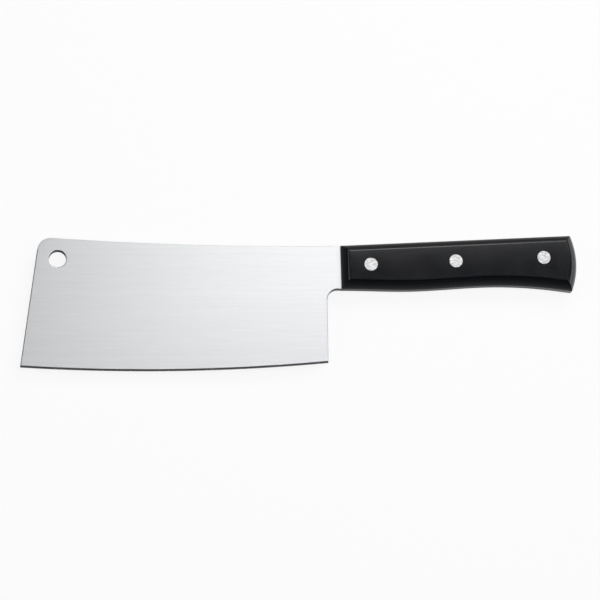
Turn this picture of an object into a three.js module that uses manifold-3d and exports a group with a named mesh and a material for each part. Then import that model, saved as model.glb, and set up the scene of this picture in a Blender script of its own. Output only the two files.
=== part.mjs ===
// A full-tang kitchen cleaver: one steel plate that is both blade and tang, two handle
// scales, and three cutler's rivets that are each a socket half pressed over a pin half.
// Millimetres, +Z up. The cleaver lies on its side, as it is put down on a table:
// X runs from the toe of the blade to the tail of the handle, Y from the cutting edge
// to the spine, and Z through the thickness.

import * as THREE from "three";
import { mergeVertices, toCreasedNormals } from "three/addons/utils/BufferGeometryUtils.js";
import Module from "manifold-3d";

const wasm = await Module();
wasm.setup();

// Plate: blade and tang in one
const STOCK = 4.5; // thickness at the spine and all along the tang
const EDGE_LENGTH = 158.9; // cutting edge, heel corner to toe corner
const HEEL_SETBACK = 7.5; // heel line to the front end of the handle
const HEEL_DROP = 38.8; // heel corner below the underside of the tang
const BELLY_RADIUS = 1030; // curve of the cutting edge
const BELLY_FROM_HEEL = 93; // lowest point of that curve, ahead of the heel
const TOE_LEAN = 8.2; // degrees that the toe leans back from upright
const TOE_CORNER_RADIUS = 7.3; // round between toe and spine
const SPINE_RADIUS = 1790; // hollow curve of the spine
const SPINE_LOW_AHEAD = 31; // lowest point of the spine, ahead of the handle
const FRONT_HEIGHT = 23; // spine to underside where the handle starts
const CHOIL_RADIUS = 5.8; // fillet between heel and underside
const EDGE_CHAMFER = 0.35; // broken edge all round the bare blade

// Grind: flat above, convex below, and a short sharpening bevel
const GRIND_HEIGHT = 37.4; // cutting edge up to the flat of the plate
const GRIND_POWER = 1.6; // 1 is a plain wedge, 2 a parabola
const SHOULDER_THICKNESS = 1.1; // where the sharpening bevel starts
const BEVEL_HEIGHT = 1.1; // sharpening bevel, measured up from the edge
const EDGE_THICKNESS = 0.1; // what the stone leaves of the edge itself

// Hole to hang the cleaver by, in the toe corner
const HOLE_DIAMETER = 8.5;
const HOLE_CHAMFER = 0.5;
const HOLE_FROM_TOE = 11.1; // centre to the toe line, square to it
const HOLE_FROM_SPINE = 10.8; // centre to the spine

// Handle: outline shared by the tang and both scales
const HANDLE_LENGTH = 125.5;
const HANDLE_RISE = 2.75; // degrees that the top edge climbs towards the tail
const TAIL_RADIUS = 40; // round of the tail end
const TAIL_CENTRE_HEIGHT = 14; // centre of that round above the underside datum
const SWELL_AT = 32; // lowest point of the palm swell, behind the front end
const SWELL_DROP = 0.5; // that point below the underside datum
const WAIST_AT = 84; // highest point of the hollow for the last fingers
const WAIST_RISE = 2; // that point above the underside datum
const BEAK_DROP = 1.05; // lower tail corner below the underside datum

// Scales
const SCALE_THICKNESS = 6.75;
const FACE_INSET = 3.75; // flat outer face stands back this far from the outline
const KNEE_HEIGHT = 4.6; // side wall curves towards a knee this far above the tang
const KNEE_INSET = 0.6; // and this far in from the outline
const SEAT_GAP = 0.05; // bedding line between scale and tang

// Rivets
const HEAD_DIAMETER = 7;
const HEAD_DEPTH = 2.2;
const BARREL_DIAMETER = 5;
const PIN_DIAMETER = 3;
const RIVET_FIT = 0.05; // clearance round heads, barrels and pins, and under the heads
const BARREL_SHORT = 1; // barrel stops this far short of the head opposite
const PIN_SHORT = 0.5; // pin stops this far short of the bottom of the bore
const CROWN_WALL = 0.8; // metal between the bore and the outer face of its head
const FIRST_RIVET_FROM_FRONT = 15;
const LAST_RIVET_FROM_TAIL = 18.7;
const MIDDLE_RIVET_AHEAD = 1; // middle rivet sits this far ahead of halfway
const RIVET_LINE_DROP = 0.35; // rivet line below mid height at the front end
const RIVET_LINE_RISE = 2.45; // degrees that the line of rivets climbs

// Fineness of the faceted solids
const ARC_STEPS = 16; // along each round stretch of the outline
const UNDERSIDE_STEPS = 28; // along the handle's underside
const GRIND_STEPS = 6; // flats across the convex grind
const BELLY_STEPS = 24; // flats along the grind
const SIDE_STEPS = 5; // flats across a scale's side wall
const ROUND_STEPS = 40; // round a rivet or a hole
const CORNER_PASSES = 12; // rounds of refinement for a corner of the handle
const CUT_MARGIN = 1; // cutting bodies stand this far past what they cut
const CREASE = 25; // degrees of bend that shows as an edge

const radians = THREE.MathUtils.degToRad;
const point = (x, y) => new THREE.Vector2(x, y);
const angleOf = (centre, end) => Math.atan2(end.y - centre.y, end.x - centre.x);

// Datum of every outline: the front end of the handle (x = 0), the underside of the tang
// there (y = 0) and the middle of the plate (z = 0).
const HALF_STOCK = STOCK / 2;
const HALF_HANDLE = HALF_STOCK + SEAT_GAP + SCALE_THICKNESS;
const HEEL_X = -HEEL_SETBACK;
const TOE_X = HEEL_X - EDGE_LENGTH;

// A long curve that sags between its ends: the lowest stretch of a large circle.
function saggingArc(lowX, throughX, throughY, radius) {
  const centre = point(lowX, throughY + Math.sqrt(radius ** 2 - (throughX - lowX) ** 2));
  return { centre, radius, y: (x) => centre.y - Math.sqrt(radius ** 2 - (x - lowX) ** 2) };
}

const belly = saggingArc(HEEL_X - BELLY_FROM_HEEL, HEEL_X, -HEEL_DROP, BELLY_RADIUS);
const spine = saggingArc(-SPINE_LOW_AHEAD, 0, FRONT_HEIGHT, SPINE_RADIUS);
const toeCorner = point(TOE_X, belly.y(TOE_X));
const LOWEST_Y = belly.centre.y - belly.radius - CUT_MARGIN;
const alongToe = point(Math.sin(radians(TOE_LEAN)), Math.cos(radians(TOE_LEAN)));
const intoBlade = point(alongToe.y, -alongToe.x);

// The point that keeps one distance from the toe line and another from the spine.
function pointInToeCorner(fromToe, fromSpine) {
  const start = toeCorner.clone().addScaledVector(intoBlade, fromToe);
  const offset = start.clone().sub(spine.centre);
  const fall = offset.dot(alongToe);
  const reach = Math.sqrt(fall ** 2 - offset.lengthSq() + (spine.radius + fromSpine) ** 2);
  return start.addScaledVector(alongToe, -fall - reach);
}

// Sides of the handle: front end upright, top edge straight, tail round, underside waisted
const tailCentre = point(HANDLE_LENGTH - TAIL_RADIUS, TAIL_CENTRE_HEIGHT);

function tailX(y, inset) {
  return tailCentre.x + Math.sqrt((TAIL_RADIUS - inset) ** 2 - (y - tailCentre.y) ** 2);
}

function topY(x, inset) {
  return FRONT_HEIGHT + x * Math.tan(radians(HANDLE_RISE)) - inset / Math.cos(radians(HANDLE_RISE));
}

function undersideY(x, inset) {
  const climb = THREE.MathUtils.smoothstep(x, SWELL_AT, WAIST_AT) * (SWELL_DROP + WAIST_RISE);
  const swell = THREE.MathUtils.smoothstep(x, 0, SWELL_AT) * SWELL_DROP;
  const pastWaist = Math.max(0, x - WAIST_AT) / (tailX(-BEAK_DROP, 0) - WAIST_AT);
  return inset + climb - swell - pastWaist ** 2 * (WAIST_RISE + BEAK_DROP);
}

// Where the top edge or the underside meets the tail.
function tailCorner(sideY, inset) {
  const corner = point(HANDLE_LENGTH - inset, TAIL_CENTRE_HEIGHT);
  for (let pass = 0; pass < CORNER_PASSES; pass += 1) {
    corner.y = sideY(corner.x, inset);
    corner.x = tailX(corner.y, inset);
  }
  return corner;
}

// Outline of the handle, anticlockwise from the lower front corner, moved in by an inset.
function handleOutline(inset) {
  const lower = tailCorner(undersideY, inset);
  const upper = tailCorner(topY, inset);
  const outline = [];
  for (let step = 0; step < UNDERSIDE_STEPS; step += 1) {
    const x = THREE.MathUtils.lerp(inset, lower.x, step / UNDERSIDE_STEPS);
    outline.push(point(x, undersideY(x, inset)));
  }
  const from = angleOf(tailCentre, lower);
  const to = angleOf(tailCentre, upper);
  const tail = new THREE.EllipseCurve(
    tailCentre.x, tailCentre.y, TAIL_RADIUS - inset, TAIL_RADIUS - inset, from, to,
  );
  outline.push(...tail.getPoints(ARC_STEPS), point(inset, topY(inset, inset)));
  return outline;
}

// Outline of blade and tang, clockwise from the toe. Below the cutting edge it is left
// straight, for the grind to cut away.
function plateOutline() {
  const foot = toeCorner.clone().addScaledVector(alongToe, (LOWEST_Y - toeCorner.y) / alongToe.y);
  const round = pointInToeCorner(TOE_CORNER_RADIUS, TOE_CORNER_RADIUS);
  const onToe = round.clone().addScaledVector(intoBlade, -TOE_CORNER_RADIUS);
  const outline = new THREE.Shape();
  outline.moveTo(foot.x, foot.y);
  outline.lineTo(onToe.x, onToe.y);
  outline.absarc(
    round.x, round.y, TOE_CORNER_RADIUS, angleOf(round, onToe), angleOf(round, spine.centre), true,
  );
  outline.absarc(
    spine.centre.x, spine.centre.y, spine.radius,
    angleOf(spine.centre, round), angleOf(spine.centre, point(0, FRONT_HEIGHT)), false,
  );
  for (const corner of handleOutline(0).reverse()) {
    outline.lineTo(corner.x, corner.y);
  }
  const choil = point(HEEL_X + CHOIL_RADIUS, -CHOIL_RADIUS);
  outline.absarc(choil.x, choil.y, CHOIL_RADIUS, Math.PI / 2, Math.PI, false);
  outline.lineTo(HEEL_X, LOWEST_Y);
  return outline;
}

// Solids for joining and cutting

function solidOf(geometry) {
  const bare = new THREE.BufferGeometry();
  bare.setAttribute("position", geometry.getAttribute("position"));
  bare.setIndex(geometry.getIndex());
  const merged = mergeVertices(bare);
  const corners = merged.getIndex().array;
  const triangles = [];
  for (let at = 0; at < corners.length; at += 3) {
    const [a, b, c] = corners.slice(at, at + 3);
    if (a !== b && b !== c && c !== a) {
      triangles.push(a, b, c);
    }
  }
  const mesh = new wasm.Mesh({
    numProp: 3,
    vertProperties: new Float32Array(merged.getAttribute("position").array),
    triVerts: new Uint32Array(triangles),
  });
  return new wasm.Manifold(mesh);
}

function geometryOf(solid) {
  const mesh = solid.getMesh();
  const geometry = new THREE.BufferGeometry();
  geometry.setAttribute("position", new THREE.BufferAttribute(mesh.vertProperties, 3));
  geometry.setIndex(new THREE.BufferAttribute(mesh.triVerts, 1));
  return toCreasedNormals(geometry, radians(CREASE));
}

// A skin stretched over rings of the same number of points and closed at both ends.
// Each ring is anticlockwise as seen from the end that the rings run towards.
function loft(rings, flatOutline) {
  const count = flatOutline[0].length;
  const index = [];
  for (let ring = 0; ring + 1 < rings.length; ring += 1) {
    for (let at = 0; at < count; at += 1) {
      const a = ring * count + at;
      const b = ring * count + ((at + 1) % count);
      index.push(a, b, b + count, a, b + count, a + count);
    }
  }
  const last = (rings.length - 1) * count;
  for (const [a, b, c] of THREE.ShapeUtils.triangulateShape(flatOutline[0], [])) {
    index.push(c, b, a);
  }
  for (const [a, b, c] of THREE.ShapeUtils.triangulateShape(flatOutline[1], [])) {
    index.push(last + a, last + b, last + c);
  }
  const geometry = new THREE.BufferGeometry().setFromPoints(rings.flat());
  geometry.setIndex(index);
  return solidOf(geometry);
}

// A solid turned about Z from a profile of [radius, height] pairs that starts and ends
// on the axis with its outer side climbing.
function turned(profile) {
  const corners = profile.map(([radius, height]) => point(radius, height));
  return new THREE.LatheGeometry(corners, ROUND_STEPS).rotateX(Math.PI / 2);
}

function extruded(outline, chamfer) {
  const geometry = new THREE.ExtrudeGeometry(outline, {
    depth: STOCK - 2 * chamfer,
    curveSegments: ARC_STEPS,
    bevelEnabled: chamfer > 0,
    bevelThickness: chamfer,
    bevelSize: chamfer,
    bevelOffset: -chamfer,
    bevelSegments: 1,
  });
  return solidOf(geometry.translate(0, 0, chamfer - HALF_STOCK));
}

// Blade

// Half thickness of the ground part, from share 0 at the flat to share 1 at the shoulder.
function grindHalf(share) {
  const full = HALF_STOCK - SHOULDER_THICKNESS / 2;
  return HALF_STOCK - Math.sign(share) * Math.abs(share) ** GRIND_POWER * full;
}

// What the grinding takes off: a channel that straddles the cutting edge and follows it.
function grindWaste() {
  const ground = GRIND_HEIGHT - BEVEL_HEIGHT;
  const flank = [];
  for (let step = -1; step <= GRIND_STEPS; step += 1) {
    if (step !== 0) {
      const share = step / GRIND_STEPS;
      flank.push(point(GRIND_HEIGHT - share * ground, grindHalf(share)));
    }
  }
  flank.push(point(0, EDGE_THICKNESS / 2));
  const outer = HALF_STOCK + CUT_MARGIN;
  const below = LOWEST_Y - CUT_MARGIN - Math.max(toeCorner.y, -HEEL_DROP);
  const section = [
    ...flank.map((p) => point(p.x, -p.y)),
    ...flank.toReversed(),
    point(flank[0].x, outer),
    point(below, outer),
    point(below, -outer),
    point(flank[0].x, -outer),
  ];
  const from = angleOf(belly.centre, point(TOE_X - CUT_MARGIN, toeCorner.y));
  const to = angleOf(belly.centre, point(0, -CHOIL_RADIUS));
  const rings = [];
  for (let step = 0; step <= BELLY_STEPS; step += 1) {
    const angle = THREE.MathUtils.lerp(from, to, step / BELLY_STEPS);
    rings.push(section.map(({ x: height, y: z }) => {
      const radius = belly.radius - height;
      const x = belly.centre.x + radius * Math.cos(angle);
      const y = belly.centre.y + radius * Math.sin(angle);
      return new THREE.Vector3(x, y, z);
    }));
  }
  return loft(rings, [section, section]);
}

function hangingHole() {
  const bore = HOLE_DIAMETER / 2;
  const mouth = bore + HOLE_CHAMFER + CUT_MARGIN;
  const outer = HALF_STOCK + CUT_MARGIN;
  const straight = HALF_STOCK - HOLE_CHAMFER;
  const centre = pointInToeCorner(HOLE_FROM_TOE, HOLE_FROM_SPINE);
  const profile = [
    [0, -outer], [mouth, -outer], [bore, -straight], [bore, straight], [mouth, outer], [0, outer],
  ];
  return solidOf(turned(profile).translate(centre.x, centre.y, 0));
}

// Rivets

const LAST_RIVET_X = HANDLE_LENGTH - LAST_RIVET_FROM_TAIL;
const MIDDLE_RIVET_X = (FIRST_RIVET_FROM_FRONT + LAST_RIVET_X) / 2 - MIDDLE_RIVET_AHEAD;
const rivets = [
  { name: "fore_rivet", x: FIRST_RIVET_FROM_FRONT },
  { name: "middle_rivet", x: MIDDLE_RIVET_X },
  { name: "tail_rivet", x: LAST_RIVET_X },
];
const rivetY = (x) => FRONT_HEIGHT / 2 - RIVET_LINE_DROP + x * Math.tan(radians(RIVET_LINE_RISE));
const HEAD_SEAT = HALF_HANDLE - HEAD_DEPTH;
const BORE_TOP = HALF_HANDLE - CROWN_WALL;

// The stepped hole that a rivet needs through both scales and the tang.
function rivetHole({ x }) {
  const head = HEAD_DIAMETER / 2 + RIVET_FIT;
  const barrel = BARREL_DIAMETER / 2 + RIVET_FIT;
  const seat = HEAD_SEAT - RIVET_FIT;
  const outer = HALF_HANDLE + CUT_MARGIN;
  const profile = [
    [0, -outer], [head, -outer], [head, -seat], [barrel, -seat],
    [barrel, seat], [head, seat], [head, outer], [0, outer],
  ];
  return solidOf(turned(profile).translate(x, rivetY(x), 0));
}

function socketHalf() {
  const head = HEAD_DIAMETER / 2;
  const barrel = BARREL_DIAMETER / 2;
  const bore = PIN_DIAMETER / 2 + RIVET_FIT;
  const end = BARREL_SHORT - HEAD_SEAT;
  return turned([
    [0, BORE_TOP], [bore, BORE_TOP], [bore, end], [barrel, end],
    [barrel, HEAD_SEAT], [head, HEAD_SEAT], [head, HALF_HANDLE], [0, HALF_HANDLE],
  ]);
}

function pinHalf() {
  const head = HEAD_DIAMETER / 2;
  const pin = PIN_DIAMETER / 2;
  const tip = BORE_TOP - PIN_SHORT;
  return turned([
    [0, -HALF_HANDLE], [head, -HALF_HANDLE], [head, -HEAD_SEAT],
    [pin, -HEAD_SEAT], [pin, tip], [0, tip],
  ]);
}

// Scale on the side that +1 or -1 points to: rings from the tang out to the flat face.
function scale(side) {
  const wall = new THREE.QuadraticBezierCurve(
    point(0, 0), point(KNEE_INSET, KNEE_HEIGHT), point(FACE_INSET, SCALE_THICKNESS),
  );
  const levels = wall.getPoints(SIDE_STEPS).map(({ x: inset, y: height }) => ({
    outline: handleOutline(inset),
    z: side * (HALF_STOCK + SEAT_GAP + height),
  }));
  levels.sort((one, other) => one.z - other.z);
  const rings = levels.map(({ outline, z }) => outline.map((p) => new THREE.Vector3(p.x, p.y, z)));
  return loft(rings, [levels.at(0).outline, levels.at(-1).outline]);
}

// Assembly

const steel = { color: 0xd8dadc, metalness: 1, roughness: 0.34 };
const plastic = { color: 0x1b1b1d, metalness: 0, roughness: 0.42 };
const rivetSteel = { color: 0xd2d3d4, metalness: 1, roughness: 0.4 };

function named(name, geometry, finish) {
  const mesh = new THREE.Mesh(geometry, new THREE.MeshStandardMaterial(finish));
  mesh.name = name;
  return mesh;
}

function drilled(solid) {
  return rivets.reduce((left, rivet) => left.subtract(rivetHole(rivet)), solid);
}

const chamferedPlate = extruded(plateOutline(), EDGE_CHAMFER);
const squareTang = extruded(new THREE.Shape(handleOutline(0)), 0);
const plate = chamferedPlate.add(squareTang);
const ground = plate.subtract(grindWaste()).subtract(hangingHole());

const cleaver = new THREE.Group();
cleaver.name = "cleaver";
cleaver.add(named("blade", geometryOf(drilled(ground)), steel));
cleaver.add(named("front_scale", geometryOf(drilled(scale(1))), plastic));
cleaver.add(named("back_scale", geometryOf(drilled(scale(-1))), plastic));
for (const { name, x } of rivets) {
  const rivet = new THREE.Group();
  rivet.name = name;
  rivet.position.set(x, rivetY(x), 0);
  rivet.add(named(`${name}_socket`, geometryOf(solidOf(socketHalf())), rivetSteel));
  rivet.add(named(`${name}_pin`, geometryOf(solidOf(pinHalf())), rivetSteel));
  cleaver.add(rivet);
}

// The shared frame has its origin under the middle of the cleaver, on the table.
const box = new THREE.Box3().setFromObject(cleaver);
const middle = box.getCenter(new THREE.Vector3());
cleaver.position.set(-middle.x, -middle.y, -box.min.z);

const root = new THREE.Group();
root.name = "kitchen_cleaver";
root.add(cleaver);

export default root;
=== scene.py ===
"""Kitchen cleaver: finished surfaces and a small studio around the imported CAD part.

Laid out as an add-on and run as a script. Lengths are in metres, in the CAD part's own
frame. Outlines are worked out from one datum: the front end of the handle in X, the
underside of the tang there in Y, and the middle of the plate in Z.
"""

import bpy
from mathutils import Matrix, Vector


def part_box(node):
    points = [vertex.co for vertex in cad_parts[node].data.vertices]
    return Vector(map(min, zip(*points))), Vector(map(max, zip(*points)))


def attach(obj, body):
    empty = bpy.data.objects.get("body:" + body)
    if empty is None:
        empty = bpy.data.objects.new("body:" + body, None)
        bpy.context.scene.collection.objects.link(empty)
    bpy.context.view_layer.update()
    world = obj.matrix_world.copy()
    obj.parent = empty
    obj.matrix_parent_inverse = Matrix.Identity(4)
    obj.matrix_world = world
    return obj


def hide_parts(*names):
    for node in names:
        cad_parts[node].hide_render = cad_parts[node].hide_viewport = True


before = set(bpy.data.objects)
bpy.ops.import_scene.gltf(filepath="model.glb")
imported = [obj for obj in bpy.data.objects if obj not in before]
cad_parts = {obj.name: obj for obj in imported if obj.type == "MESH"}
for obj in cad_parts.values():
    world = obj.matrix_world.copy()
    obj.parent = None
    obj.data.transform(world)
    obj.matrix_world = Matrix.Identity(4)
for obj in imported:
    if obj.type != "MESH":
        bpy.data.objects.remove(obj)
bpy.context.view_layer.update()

import math

import bpy
import numpy as np
from bpy.props import FloatProperty, FloatVectorProperty, PointerProperty
from mathutils import Matrix, Vector

bl_info = {
    "name": "Kitchen Cleaver",
    "version": (1, 0, 0),
    "blender": (4, 5, 0),
    "location": "3D View > Sidebar > Cleaver",
    "description": "Builds the blade, scales and rivets of a full-tang cleaver and lights them",
    "category": "Add Mesh",
}

MM = 0.001

# What the CAD part already settles
BLADE_LOW, BLADE_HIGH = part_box("blade")
SCALE_LOW, SCALE_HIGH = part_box("front_scale")
HEAD_LOW, HEAD_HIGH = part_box("fore_rivet_socket")
HEAD_RADIUS = (HEAD_HIGH.x - HEAD_LOW.x) / 2
RIVETS = sorted(name.removesuffix("_socket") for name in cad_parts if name.endswith("_socket"))
MIDDLE_Z = (BLADE_LOW.z + BLADE_HIGH.z) / 2
HALF_STOCK = (BLADE_HIGH.z - BLADE_LOW.z) / 2
HALF_HANDLE = SCALE_HIGH.z - MIDDLE_Z
SEAT = SCALE_LOW.z - MIDDLE_Z
HANDLE_LENGTH = SCALE_HIGH.x - SCALE_LOW.x

# Fineness of the surfaces
BLADE_COLUMNS = 112
BEVEL_ROW = 2
GRIND_ROWS = 14
GRIND_TOP_ROWS = 3
FLAT_ROWS = 12
CORNER_STEPS = 14
CHOIL_STEPS = 12
NECK_STEPS = 3
TANG_COLUMNS = 84
SCALE_COLUMNS = 140
SCALE_ROWS = 20
WALL_STEPS = 12
ROUND_STEPS = 6
EDGE_STEPS = 4
RIVET_SIDES = 64

# Half the side of the block of cells round each kind of hole, and the rings that fill the block, as
# shares of the way in
HANGING_CELLS = 4
TANG_CELLS = 3
SCALE_CELLS = 6
RING_SHARES = np.array([0, 0.3, 0.6, 0.85, 1])[:, None, None]

# Distance of the row of points that keeps an edge crisp, and of the first row from the cutting edge
SUPPORT = 0.4 * MM
EDGE_ROW = 0.06 * MM

# Largest share of half the plate's thickness that a broken edge takes
THIN_SHARE = 0.6

# Passes that find where two curves meet, the angle that shades sharp, and the decimals of a weld
FIT_PASSES = 12
SHARP = math.radians(30)
WELD_DIGITS = 9

# Finishes of the plate: name, colour, length and width of a scratch in millimetres, roughness, and how
# far the sheen stretches across the scratches
STEEL_FINISHES = (
    # Brushed along the blade on a belt: a pale sheen with faint straight streaks
    ("stainless_blade_brushed", "steel", (18, 0.8), 0.45, 0.75),
    # Honed on a fine stone: smoother, so it mirrors more of what it faces
    ("stainless_bevel_honed", "steel", (0.5, 0.5), 0.26, 0.0),
    # Run along a coarser belt: dull, and a mid grey that is painted shade where the undersides and walls
    # mirror the table in the cleaver's shade
    ("stainless_edge_linished", "edge_steel", (9, 0.5), 0.42, 0.0),
    # Drilled or sheared and left as it was: dull, and a dark grey that is painted shade in the bores and
    # along the toe
    ("stainless_edge_bare", "cut_steel", (1, 0.5), 0.45, 0.0),
)

# Broad bands of the brushing: how many go into a scratch's length and width, and their weight beside
# it. Then the darkest streak, and how far the roughness swings
BANDS_ALONG = 0.1
BANDS_ACROSS = 0.6
BANDS_WEIGHT = 0.6
STREAK_DARK = 0.935
STREAK_SWING = 0.015

# Sizes of the plastic's mottle and of the clouds in its gloss, its palest spot and its swing in gloss
MOTTLE_SIZE = 0.6 * MM
CLOUD_SIZE = 9 * MM
MOTTLE_PALE = 1.6
GLOSS_SWING = 0.03

# Scratches of the rivet heads: length and width in millimetres, slant, where the pattern starts in
# such lengths, the darkest scratch, and the roughness from dark to pale
SCORE_GRAIN = (2, 0.6)
SCORE_SLANT = math.radians(-40)
SCORE_START = 5.3
SCORE_DARK = 0.34
SCORE_SHEEN = (0.36, 0.46)

# Light of the room, the white of the table, the walls in reflections, and the sines of the heights
# where those walls start to fade and are gone
ROOM_LIGHT = 0.03
TABLE_WHITE = 0.89
WALL_WHITE = 0.65
WALL_FADE = (0.3, 0.75)

# The cleaver's shade on the table in reflections: its reach, its steepness and its samples
SHADE_REACH = 40 * MM
SHADE_POWER = 2.2
SHADE_SAMPLES = 8

# Width of the camera's sensor in millimetres
SENSOR_WIDTH = 36

# Softboxes: name, middle, direction that it shines in, size and brightness
SOFTBOXES = (
    ("back_softbox", (0.07, 0.475, 0.8), (0, 0, -1), (0.38, 0.25), 3.72),
    ("tail_softbox", (0.35, 0.435, 0.83), (0, 0, -1), (0.7, 0.33), 2.12),
    ("front_softbox", (0.2, -0.075, 0.8), (0, 0, -1), (1.0, 0.25), 2.6),
    ("rear_strip", (0.42, 0.72, 0.8), (0, -0.5, -1), (0.36, 0.12), 6.8),
    ("toe_panel", (-0.8, 0.1, 0.72), (1, 0, -0.9), (0.5, 0.7), 1.35),
    ("tail_panel", (0.95, 0.05, 0.07), (-1, 0, 0), (1.0, 0.14), 1.4),
)

# Sizes and colours that the sidebar lists


def linear(hex_code):
    """sRGB hex colour as the linear RGBA that shaders take."""
    shares = [int(hex_code[at:at + 2], 16) / 255 for at in (1, 3, 5)]
    return [c / 12.92 if c <= 0.04045 else ((c + 0.055) / 1.055) ** 2.4 for c in shares] + [1.0]


def length(name, description, millimetres):
    """A length that the sidebar shows in the scene's own unit."""
    return FloatProperty(
        name=name, description=description, default=millimetres * MM,
        min=0.0, precision=5, unit="LENGTH",
    )


def angle(name, description, degrees):
    """An angle that the sidebar shows in degrees."""
    return FloatProperty(
        name=name, description=description, default=math.radians(degrees),
        subtype="ANGLE", unit="ROTATION",
    )


def colour(name, description, hex_code):
    """A colour, written as sRGB hex."""
    return FloatVectorProperty(
        name=name, description=description, default=linear(hex_code),
        size=4, min=0.0, max=1.0, subtype="COLOR",
    )


class CleaverPlateSizes(bpy.types.PropertyGroup):
    """The steel plate that is both blade and tang"""

    edge_length: length("Edge length", "Cutting edge, heel corner to toe corner", 158.9)
    heel_setback: length("Heel setback", "Heel line to the front end of the handle", 7.5)
    heel_drop: length("Heel drop", "Heel corner below the underside of the tang", 38.8)
    belly_radius: length("Belly radius", "Curve of the cutting edge", 1030)
    belly_from_heel: length("Belly from heel", "Lowest point of the cutting edge, ahead of the heel", 93)
    toe_lean: angle("Toe lean", "Lean of the toe from upright", 8.2)
    toe_corner_radius: length("Toe corner", "Round between toe and spine", 7.3)
    spine_radius: length("Spine radius", "Hollow curve of the spine", 1790)
    spine_low_ahead: length("Spine low point", "Lowest point of the spine, ahead of the handle", 31)
    choil_radius: length("Choil radius", "Fillet between heel and underside", 5.8)
    edge_round: length("Broken edge", "Round along the edges of the bare blade", 0.35)
    tang_round: length("Tang edge", "Round along the edges of the tang", 0.05)
    grind_height: length("Grind height", "Cutting edge up to the flat of the plate", 37.4)
    grind_power: FloatProperty(
        name="Grind power", description="1 is a plain wedge and 2 a parabola", default=1.6,
    )
    shoulder_thickness: length("Shoulder", "Thickness where the sharpening bevel starts", 1.1)
    bevel_height: length("Bevel height", "Sharpening bevel, measured up from the edge", 1.1)
    edge_thickness: length("Edge thickness", "What the stone leaves of the edge itself", 0.1)
    hole_diameter: length("Hole", "Bore of the hanging hole", 8.9)
    hole_lip: length("Hole lip", "Round at both mouths of the hanging hole", 0.3)
    hole_from_toe: length("Hole from toe", "Hole centre to the toe line", 11.1)
    hole_from_spine: length("Hole from spine", "Hole centre to the spine", 10.8)


class CleaverHandleSizes(bpy.types.PropertyGroup):
    """The outline that the tang and both scales share, and the scales' side walls"""

    front_height: length("Front height", "Spine to underside where the handle starts", 23)
    rise: angle("Rise", "Climb of the top edge towards the tail", 2.75)
    tail_radius: length("Tail radius", "Round of the tail end", 40)
    tail_centre_height: length("Tail centre", "Centre of that round above the underside", 14)
    swell_at: length("Swell", "Lowest point of the palm swell, behind the front end", 32)
    swell_drop: length("Swell drop", "That point below the underside datum", 0.5)
    waist_at: length("Waist", "Highest point of the hollow for the last fingers", 84)
    waist_rise: length("Waist rise", "That point above the underside datum", 2)
    beak_drop: length("Beak drop", "Lower tail corner below the underside datum", 1.05)
    face_inset: length("Face inset", "Long sides of the outline to the outer face", 3.75)
    front_inset: length("Front inset", "Front end of the outline to the outer face", 3.55)
    tail_inset: length("Tail inset", "Tail end of the outline to the outer face", 4.35)
    knee_height: length("Knee height", "Height that the side wall curves towards", 4.6)
    knee_inset: length("Knee inset", "Inset that the side wall curves towards", 0.6)
    face_round: length("Face edge", "Round between side wall and outer face", 2.2)
    crown: length("Crown", "Middle of the outer face above its upper and lower edges", 0.1)


class CleaverRivetSizes(bpy.types.PropertyGroup):
    """The rivets, each a socket half pressed over a pin half"""

    head_depth: length("Head depth", "Thickness of a rivet head", 2.2)
    barrel_diameter: length("Barrel", "Outside of the socket's barrel", 5)
    pin_diameter: length("Pin", "Outside of the pin", 3)
    fit: length("Fit", "Clearance round heads, barrels and pins", 0.05)
    barrel_short: length("Barrel end", "Barrel stops this far short of the opposite head", 1)
    pin_short: length("Pin end", "Pin stops this far short of the bottom of its bore", 0.5)
    crown_wall: length("Crown", "Metal between the bore and the outer face of its head", 0.8)
    edge_break: length("Edge break", "Broken edge of a head and of the hole it sits in", 0.12)


class CleaverFinishes(bpy.types.PropertyGroup):
    """Colours of the materials"""

    steel: colour("Blade steel", "Stainless steel, brushed along the blade", "#DDDEE0")
    # The next two steels are painted shade: the blade steel darkened where its edges, bores and toe
    # mirror the table in the cleaver's shade
    edge_steel: colour("Edge steel", "The same steel where the plate's edges are linished", "#7C7D7F")
    cut_steel: colour("Cut steel", "The same steel, drilled or sheared and left bare", "#575859")
    acetal: colour("Scale plastic", "Black acetal", "#0A0C11")
    rivet_steel: colour("Rivet steel", "Stainless rivet heads, ground flush", "#F3F3F3")
    floor: colour("Floor", "Matt table, before the white that it is given", "#6C6C6C")


class CleaverStageSettings(bpy.types.PropertyGroup):
    """Camera and table"""

    focal_length: FloatProperty(
        name="Focal length", description=f"Lens on a {SENSOR_WIDTH} mm sensor",
        default=153.38, unit="CAMERA",
    )
    camera_height: length("Camera height", "Camera above the table", 1300)
    camera_toewards: length("Camera toewards", "Camera's foot from the middle, towards the toe", 165)
    camera_edgewards: length("Camera edgewards", "Camera's foot from the middle, past the edge", 270)
    camera_roll: angle("Camera roll", "Turn of the camera about its line of sight", 1.38)
    target: FloatVectorProperty(
        name="Target", description="Point in the middle of the picture", unit="LENGTH", size=3,
        default=(-1.13 * MM, 1.62 * MM, MIDDLE_Z),
    )
    floor_size: length("Floor size", "Side of the square table", 12000)


SETTINGS = {
    "cleaver_plate": CleaverPlateSizes,
    "cleaver_handle": CleaverHandleSizes,
    "cleaver_rivets": CleaverRivetSizes,
    "cleaver_finishes": CleaverFinishes,
    "cleaver_stage": CleaverStageSettings,
}


# Surfaces: each is an array of points and an array of quads that index it


def smoothstep(x, low, high):
    """0 up to low, 1 from high on, and an even S between them."""
    share = np.clip((x - low) / (high - low), 0, 1)
    return share * share * (3 - 2 * share)


def spaced(count, margin):
    """Shares from 0 to 1 with an even middle and one close step at each end."""
    return np.concatenate(([0.0], np.linspace(margin, 1 - margin, count - 1), [1.0]))


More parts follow.
